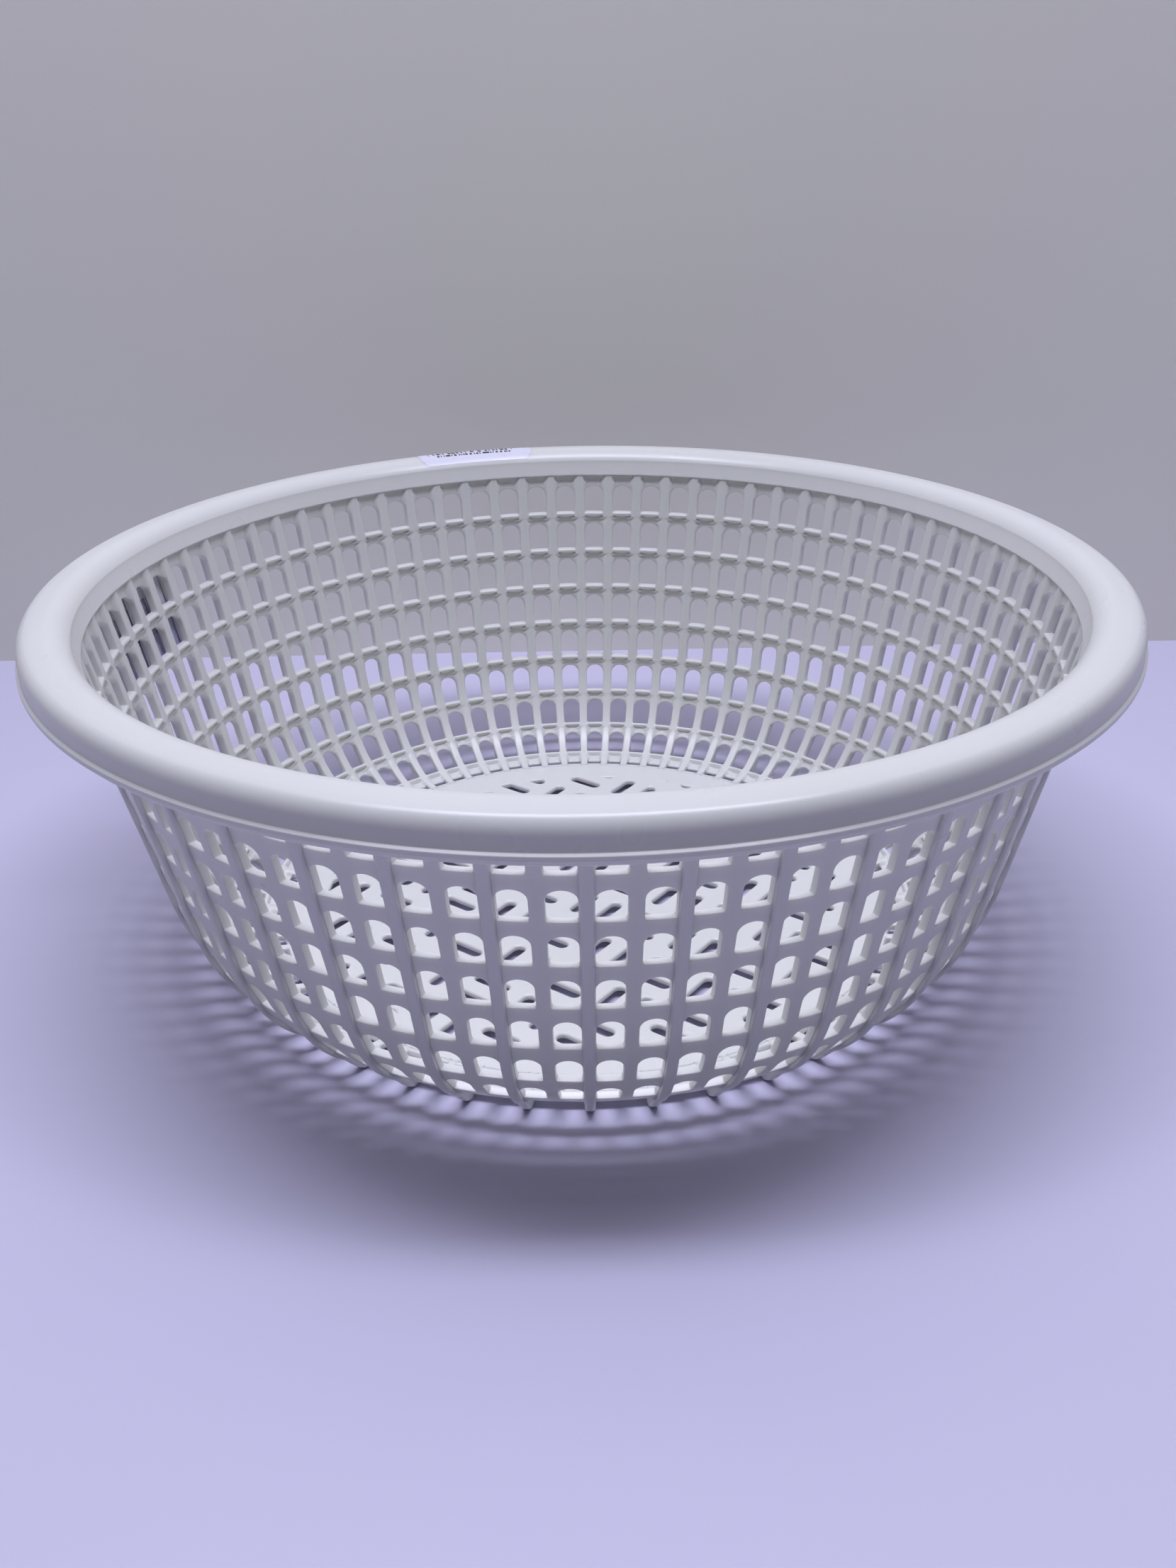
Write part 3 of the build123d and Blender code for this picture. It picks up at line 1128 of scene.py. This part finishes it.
    def dress(self, plastic: bpy.types.Material) -> None:
        """Gives the base its material and its place in the frame.

        Args:
            plastic: the moulding's material.
        """
        self.obj.data.materials.clear()
        self.obj.data.materials.append(plastic)
        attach(self.obj, "root")
        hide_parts("base_ring", "base_grille")


@dataclass
class Label:
    """A printed paper label that follows the surface it is stuck to.

    Attributes:
        node: CAD node that it stands for.
        line: its section as radius and height points, in millimetres.
        start_deg: angle of its first edge.
        span_deg: angle that it fills.
        round_end: length of its rounded ends, as a share of its span.
    """

    node: str
    line: list[Point]
    start_deg: float
    span_deg: float
    round_end: float
    obj: bpy.types.Object | None = field(default=None, repr=False)

    def build(self) -> None:
        """Builds the label as a thin curved sheet."""
        line = np.array(self.line)
        m, n = len(line), 49
        points, places = [], []
        for i in range(n):
            u = i / (n - 1)
            edge = min(u, 1 - u) / self.round_end if self.round_end else 1.0
            keep = math.sqrt(max(0.0, 1 - (1 - min(1.0, edge)) ** 2)) if edge < 1 else 1.0
            keep = max(0.55, keep)
            for j in range(m):
                v = 0.5 + (j / (m - 1) - 0.5) * keep
                x = v * (m - 1)
                a = int(min(m - 2, math.floor(x)))
                r, z = line[a] + (line[a + 1] - line[a]) * (x - a)
                t = math.radians(self.start_deg + self.span_deg * u)
                points.append((r * math.cos(t) * MM, r * math.sin(t) * MM, z * MM))
                places.append((u, v, 0.0))
        faces = np.array([
            (i * m + j, i * m + j + 1, (i + 1) * m + j + 1, (i + 1) * m + j)
            for i in range(n - 1)
            for j in range(m - 1)
        ])
        self.obj = make_mesh(self.node + "_paper", np.array(points), faces)
        place = self.obj.data.attributes.new("label_place", "FLOAT_VECTOR", "POINT")
        place.data.foreach_set("vector", np.array(places, np.float32).ravel())

    def dress(self, finish: LabelFinish) -> None:
        """Gives the label its print and its place in the frame.

        Args:
            finish: the label's finish.
        """
        self.obj.data.materials.append(finish.material())
        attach(self.obj, "root")
        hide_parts(self.node)


@dataclass
class Studio:
    """Table, wall behind it, soft lights and the camera.

    Attributes:
        eye: camera position in metres.
        pitch_deg: how far the camera looks down.
        yaw_deg: how far it is turned to the left.
        roll_deg: how far it is rolled.
        lens: focal length in millimetres for a 36 mm tall sensor.
        table_edge: how far behind the basket's axis the table meets the wall.
    """

    eye: tuple[float, float, float] = (0.0, -0.5072, 0.3072)
    pitch_deg: float = 26.47
    yaw_deg: float = -0.155
    roll_deg: float = -0.948
    lens: float = 32.55
    table_edge: float = 0.289

    def build(self) -> None:
        """Builds table, wall, lights and camera."""
        edge = self.table_edge
        table = self._plane("table", [(-3, -3, 0), (3, -3, 0), (3, 3, 0), (-3, 3, 0)])
        back = self._plane("wall_behind", [(-4, edge, -1), (4, edge, -1), (4, edge, 3), (-4, edge, 3)])
        table.data.materials.append(
            GroundFinish("table paint", (0.625, 0.60, 0.765), (0.60, 0.575, 0.74), (0.42, 0.52)).material())
        back.data.materials.append(
            GroundFinish("wall paint", (0.88, 0.865, 0.765), (0.85, 0.84, 0.735), (0.8, 0.9)).material())
        self._area("overhead tube", (0.0, -0.2, 1.75), (0.0, -0.05, 0.0), (1.5, 0.24), 19.0, (0.80, 0.815, 1.0))
        self._area("ceiling", (0.0, -0.1, 2.2), (0.0, 0.1, 0.0), (2.2, 0.9), 18.5, (0.81, 0.82, 1.0))
        world = bpy.data.worlds.new("room")
        world.use_nodes = True
        tree = world.node_tree
        fill = tree.nodes["Background"]
        fill.inputs["Color"].default_value = (0.80, 0.82, 1.0, 1)
        fill.inputs["Strength"].default_value = 0.03
        seen = tree.nodes.new("ShaderNodeBackground")
        seen.inputs["Color"].default_value = (0.36, 0.355, 0.40, 1)
        path = tree.nodes.new("ShaderNodeLightPath")
        either = tree.nodes.new("ShaderNodeMixShader")
        tree.links.new(path.outputs["Is Camera Ray"], either.inputs["Fac"])
        tree.links.new(fill.outputs["Background"], either.inputs[1])
        tree.links.new(seen.outputs["Background"], either.inputs[2])
        tree.links.new(either.outputs["Shader"], tree.nodes["World Output"].inputs["Surface"])
        bpy.context.scene.world = world
        bpy.context.scene.view_settings.view_transform = "Standard"
        self._camera()

    @staticmethod
    def _plane(name: str, corners: list[tuple[float, float, float]]) -> bpy.types.Object:
        """One flat quad.

        Args:
            name: name of the object.
            corners: its corners.

        Returns:
            The object.
        """
        mesh = bpy.data.meshes.new(name)
        mesh.from_pydata(corners, [], [(0, 1, 2, 3)])
        obj = bpy.data.objects.new(name, mesh)
        bpy.context.scene.collection.objects.link(obj)
        return obj

    @staticmethod
    def _area(name: str, at: tuple, to: tuple, size: Point, power: float, colour: tuple) -> None:
        """Adds a soft rectangular light.

        Args:
            name: name of the light.
            at: its position.
            to: point that it faces.
            size: its width and height.
            power: its power in watts.
            colour: its colour.
        """
        data = bpy.data.lights.new(name, "AREA")
        data.shape = "RECTANGLE"
        data.size, data.size_y = size
        data.energy = power
        data.color = colour
        lamp = bpy.data.objects.new(name, data)
        lamp.location = at
        lamp.rotation_euler = (Vector(to) - Vector(at)).to_track_quat("-Z", "Y").to_euler()
        bpy.context.scene.collection.objects.link(lamp)

    def _camera(self) -> None:
        """Adds the camera at the angle of the reference view."""
        data = bpy.data.cameras.new("camera")
        data.sensor_fit = "VERTICAL"
        data.sensor_height = 36.0
        data.lens = self.lens
        cam = bpy.data.objects.new("camera", data)
        p, y, r = (math.radians(v) for v in (self.pitch_deg, self.yaw_deg, self.roll_deg))
        turn = Matrix.Rotation(y, 3, "Z")
        ahead = turn @ Vector((0, math.cos(p), -math.sin(p)))
        right = turn @ Vector((1, 0, 0))
        up = right.cross(ahead)
        right2 = right * math.cos(r) + up * math.sin(r)
        up2 = up * math.cos(r) - right * math.sin(r)
        rot = Matrix((right2, up2, -ahead)).transposed().to_4x4()
        cam.matrix_world = Matrix.Translation(self.eye) @ rot
        bpy.context.scene.collection.objects.link(cam)
        bpy.context.scene.camera = cam


def rim_label(rim: Rim) -> Label:
    """Label lying over the inner edge of the far rim.

    Args:
        rim: the rim it lies on.

    Returns:
        The label, not built yet.
    """
    r, z = np.array(rim.top()).T
    across = np.linspace(182.4, 195.4, 15)
    line = [(float(a), float(np.interp(a, r, z)) + 0.14) for a in across]
    return Label("rim_label", line, 97.2, 16.7, 0.06)


def wall_label() -> Label:
    """Label stuck across the ribs outside the left of the wall.

    Returns:
        The label, not built yet.
    """
    line = []
    for z in np.linspace(96.5, 127.0, 9):
        r, zz, nr, nz = (float(v) for v in WALL.at(np.array(WALL.s_at_height(float(z)))))
        line.append((r + nr * 1.72, zz + nz * 1.72))
    return Label("wall_label", line, 160.0, 21.4, 0.0)


def main() -> None:
    """Builds every sub-assembly in order."""
    logging.basicConfig(level=logging.INFO, format="%(name)s: %(message)s")
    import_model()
    plastic = PlasticFinish().material()
    rim = Rim()
    for part in (rim, Lattice(), Ribs(), Base()):
        part.build()
        part.dress(plastic)
        LOG.info("built %s", type(part).__name__)
    first = rim_label(rim)
    first.build()
    first.dress(LabelFinish("rim label print", (0.80, 0.79, 0.88), (0.76, 0.75, 0.85), (0.03, 0.03, 0.05), 30.0))
    second = wall_label()
    second.build()
    second.dress(LabelFinish("wall label print", (0.78, 0.77, 0.86), (0.50, 0.50, 0.70), (0.30, 0.29, 0.42), 22.0))
    Studio().build()


if __name__ == "__main__":
    main()
